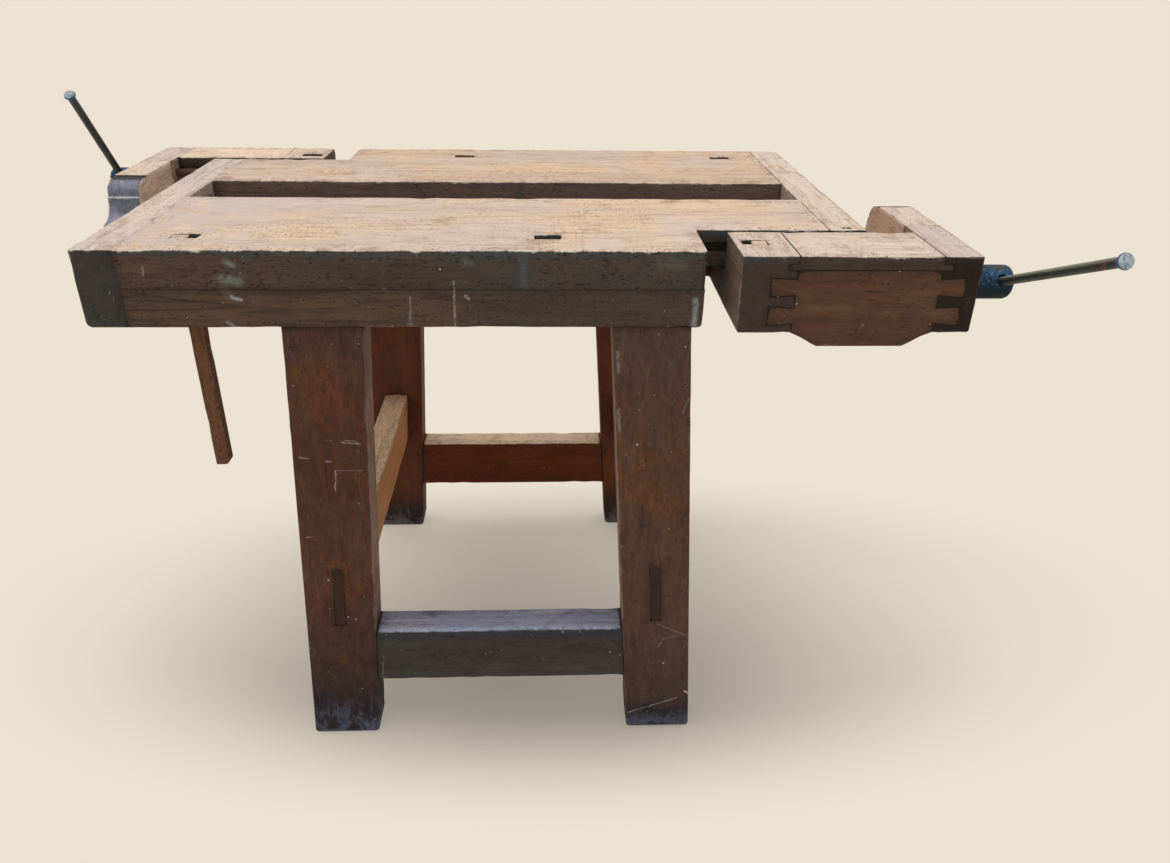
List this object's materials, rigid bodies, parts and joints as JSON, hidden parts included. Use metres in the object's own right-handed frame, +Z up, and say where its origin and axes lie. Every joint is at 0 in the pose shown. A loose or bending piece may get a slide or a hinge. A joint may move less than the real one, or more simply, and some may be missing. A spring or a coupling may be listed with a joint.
{
  "type": "woodworking bench with vises",
  "caption": "Wooden joiner's bench on splayed legs with a central tool well, bench dogs and, at opposite corners, a sliding tail vise worked by a screw and tommy bar.",
  "frame": {"origin": "on the floor, under the middle of the whole object's box", "axes": "+X along the bench towards the front vise's screw, +Y to the back, +Z up"},
  "size_m": [1.375, 0.8748, 0.9175],
  "materials": {
    "top_wood": "bare beech, planed and worn pale on top, dirty grey-brown on its edges",
    "edge_wood": "dark grimy beech with wormholes",
    "leg_wood": "reddish brown stained beech, scuffed",
    "stretcher_wood": "brown beech, dusty grey on top",
    "vise_wood": "brown oiled beech",
    "block_wood": "near-black dirty end grain and edges",
    "inner_wood": "bare hidden beech",
    "dog_wood": "dark brown hardwood",
    "hub_paint": "chipped blue paint on cast iron",
    "bar_steel": "grey-green patinated steel with rust",
    "steel": "oiled steel",
    "iron": "dark cast iron"
  },
  "bodies": {
    "bench": {"front_plank": "top_wood", "rear_plank": "top_wood", "front_edge_strip": "edge_wood", "rear_edge_strip": "edge_wood", "right_end_cap": "top_wood", "left_end_cap": "top_wood", "tool_well_board": "inner_wood", "right_cap_bolt_1": "iron", "right_cap_bolt_2": "iron", "left_cap_bolt_1": "iron", "left_cap_bolt_2": "iron", "front_left_leg": "leg_wood", "front_right_leg": "leg_wood", "rear_left_leg": "leg_wood", "rear_right_leg": "leg_wood", "front_stretcher": "stretcher_wood", "rear_stretcher": "stretcher_wood", "left_stretcher": "stretcher_wood", "right_stretcher": "stretcher_wood", "left_bearer": "inner_wood", "right_bearer": "inner_wood", "front_vise_nut_block": "inner_wood", "rear_vise_nut_block": "inner_wood", "front_vise_nut": "iron", "rear_vise_nut": "iron", "front_vise_guide_rail": "inner_wood", "rear_vise_guide_rail": "inner_wood"},
    "front_vise": {"front_vise_jaw_block": "block_wood", "front_vise_front_board": "vise_wood", "front_vise_cover_board": "top_wood", "front_vise_end_block": "block_wood", "front_vise_arm": "block_wood", "front_vise_guide_tongue": "inner_wood", "front_vise_guide_foot": "inner_wood"},
    "front_screw": {"front_vise_screw": "steel", "front_vise_washer": "iron", "front_vise_hub": "hub_paint", "front_vise_hub_pin": "steel", "front_vise_collar": "iron", "front_vise_collar_pin": "steel"},
    "front_bar": {"front_vise_tommy_bar": "bar_steel"},
    "rear_vise": {"rear_vise_jaw_block": "block_wood", "rear_vise_front_board": "vise_wood", "rear_vise_cover_board": "top_wood", "rear_vise_end_block": "block_wood", "rear_vise_arm": "block_wood", "rear_vise_guide_tongue": "inner_wood", "rear_vise_guide_foot": "inner_wood"},
    "rear_screw": {"rear_vise_screw": "steel", "rear_vise_washer": "iron", "rear_vise_hub": "hub_paint", "rear_vise_hub_pin": "steel", "rear_vise_collar": "iron", "rear_vise_collar_pin": "steel"},
    "rear_bar": {"rear_vise_tommy_bar": "bar_steel"},
    "long_dog": {"long_dog": "dog_wood"},
    "short_dog": {"short_dog": "dog_wood"}
  },
  "joints": [
    {"name": "front_vise_slide", "type": "slide", "parent": "bench", "child": "front_vise", "axis": [1, 0, 0], "range_m": [-0.0385, 0.079]},
    {"name": "front_screw_turn", "type": "hinge", "parent": "front_vise", "child": "front_screw", "pos_m": [0.6235, -0.18752, 0.75], "axis": [1, 0, 0], "range_deg": [-1732, 3554]},
    {"name": "front_bar_slide", "type": "slide", "parent": "front_screw", "child": "front_bar", "axis": [0, -0.9191, 0.3939], "range_m": [-0.236, 0.003]},
    {"name": "rear_vise_slide", "type": "slide", "parent": "bench", "child": "rear_vise", "axis": [-1, 0, 0], "range_m": [-0.0435, 0.074]},
    {"name": "rear_screw_turn", "type": "hinge", "parent": "rear_vise", "child": "rear_screw", "pos_m": [-0.5995, 0.37098, 0.75], "axis": [-1, 0, 0], "range_deg": [-1957, 3329]},
    {"name": "rear_bar_slide", "type": "slide", "parent": "rear_screw", "child": "rear_bar", "axis": [0, -0.6046, 0.7965], "range_m": [-0.173, 0.066]},
    {"name": "long_dog_lift", "type": "slide", "parent": "bench", "child": "long_dog", "axis": [0, 0, 1], "range_m": [0, 0.04]},
    {"name": "short_dog_lift", "type": "slide", "parent": "front_vise", "child": "short_dog", "axis": [0, 0, 1], "range_m": [0, 0.04]}
  ],
  "couplings": [
    {"joint": "front_vise_slide", "follows": "front_screw_turn", "m_per_rad": 0.0012732},
    {"joint": "rear_vise_slide", "follows": "rear_screw_turn", "m_per_rad": 0.0012732}
  ]
}
